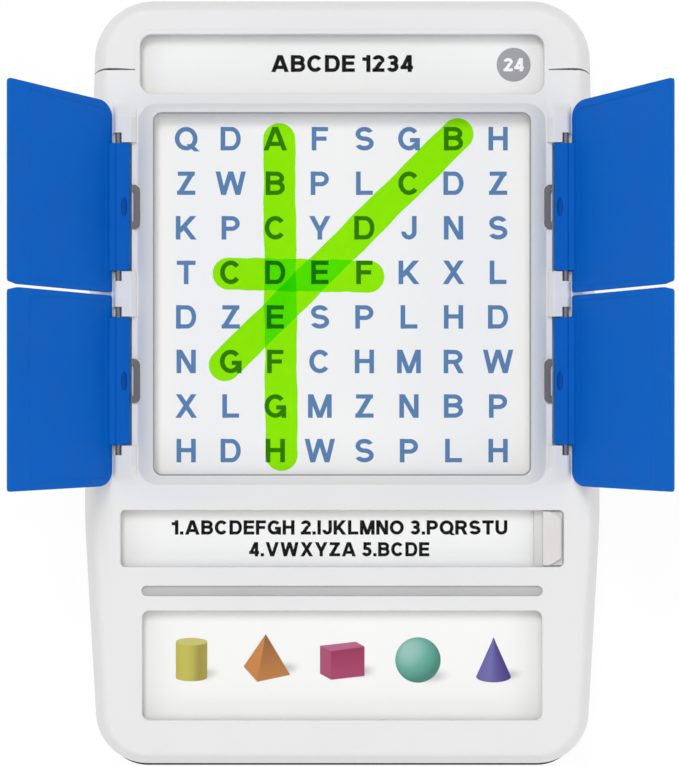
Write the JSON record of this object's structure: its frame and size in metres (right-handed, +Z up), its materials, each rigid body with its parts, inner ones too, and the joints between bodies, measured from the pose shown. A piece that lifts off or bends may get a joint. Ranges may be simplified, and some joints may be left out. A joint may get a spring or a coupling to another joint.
{
  "type": "word search game",
  "caption": "Hand-held word search game: flat case with flip doors over a letter window, clear windows for title, words and picture, and a card drawer at its end.",
  "frame": {"origin": "middle of the game, on the surface that its feet stand on", "axes": "+X to the right as the card is read, +Y towards the title end and the drawer's cap, +Z up out of the windows"},
  "size_m": [0.2096, 0.265, 0.0994],
  "materials": {
    "white_plastic": "white, satin moulded",
    "tray_plastic": "off-white, satin moulded",
    "blue_plastic": "blue, smooth moulded",
    "steel": "grey steel",
    "clear_plastic": "clear, polished",
    "card_print": "white card, printed",
    "card_board": "stack of card edges",
    "grey_plastic": "light grey, satin moulded",
    "rubber": "dark rubber"
  },
  "bodies": {
    "case": {"bottom_shell": "white_plastic", "top_shell": "white_plastic", "title_pane": "clear_plastic", "puzzle_pane": "clear_plastic", "word_pane": "clear_plastic", "picture_pane": "clear_plastic", "hinge_pin_upper_left": "steel", "hinge_pin_upper_right": "steel", "hinge_pin_lower_left": "steel", "hinge_pin_lower_right": "steel", "door_spring_upper_left": "steel", "door_spring_upper_right": "steel", "door_spring_lower_left": "steel", "door_spring_lower_right": "steel", "foot_upper_left": "rubber", "foot_upper_right": "rubber", "foot_lower_left": "rubber", "foot_lower_right": "rubber", "shell_screw_left": "steel", "shell_screw_middle": "steel", "shell_screw_right": "steel"},
    "drawer": {"drawer_cap": "white_plastic", "drawer_tray": "tray_plastic", "card_pack": "card_board", "puzzle_card": "card_print", "cap_screw_left": "steel", "cap_screw_right": "steel"},
    "lock": {"drawer_lock": "grey_plastic"},
    "upper_left_door": {"door_upper_left": "blue_plastic"},
    "upper_right_door": {"door_upper_right": "blue_plastic"},
    "lower_left_door": {"door_lower_left": "blue_plastic"},
    "lower_right_door": {"door_lower_right": "blue_plastic"}
  },
  "joints": [
    {"name": "upper_left_hinge", "type": "hinge", "parent": "case", "child": "upper_left_door", "pos_m": [-0.0765, 0.0301, 0.0282], "axis": [0, 1, 0], "range_deg": [0, 109]},
    {"name": "upper_right_hinge", "type": "hinge", "parent": "case", "child": "upper_right_door", "pos_m": [0.0765, 0.0301, 0.0282], "axis": [0, -1, 0], "range_deg": [0, 109]},
    {"name": "lower_left_hinge", "type": "hinge", "parent": "case", "child": "lower_left_door", "pos_m": [-0.0765, 0.0301, 0.0282], "axis": [0, 1, 0], "range_deg": [0, 109]},
    {"name": "lower_right_hinge", "type": "hinge", "parent": "case", "child": "lower_right_door", "pos_m": [0.0765, 0.0301, 0.0282], "axis": [0, -1, 0], "range_deg": [0, 109]},
    {"name": "drawer_slide", "type": "slide", "parent": "case", "child": "drawer", "axis": [0, 1, 0], "range_m": [0, 0.19]},
    {"name": "lock_slide", "type": "slide", "parent": "case", "child": "lock", "axis": [1, 0, 0], "range_m": [-0.0026, 0]}
  ]
}
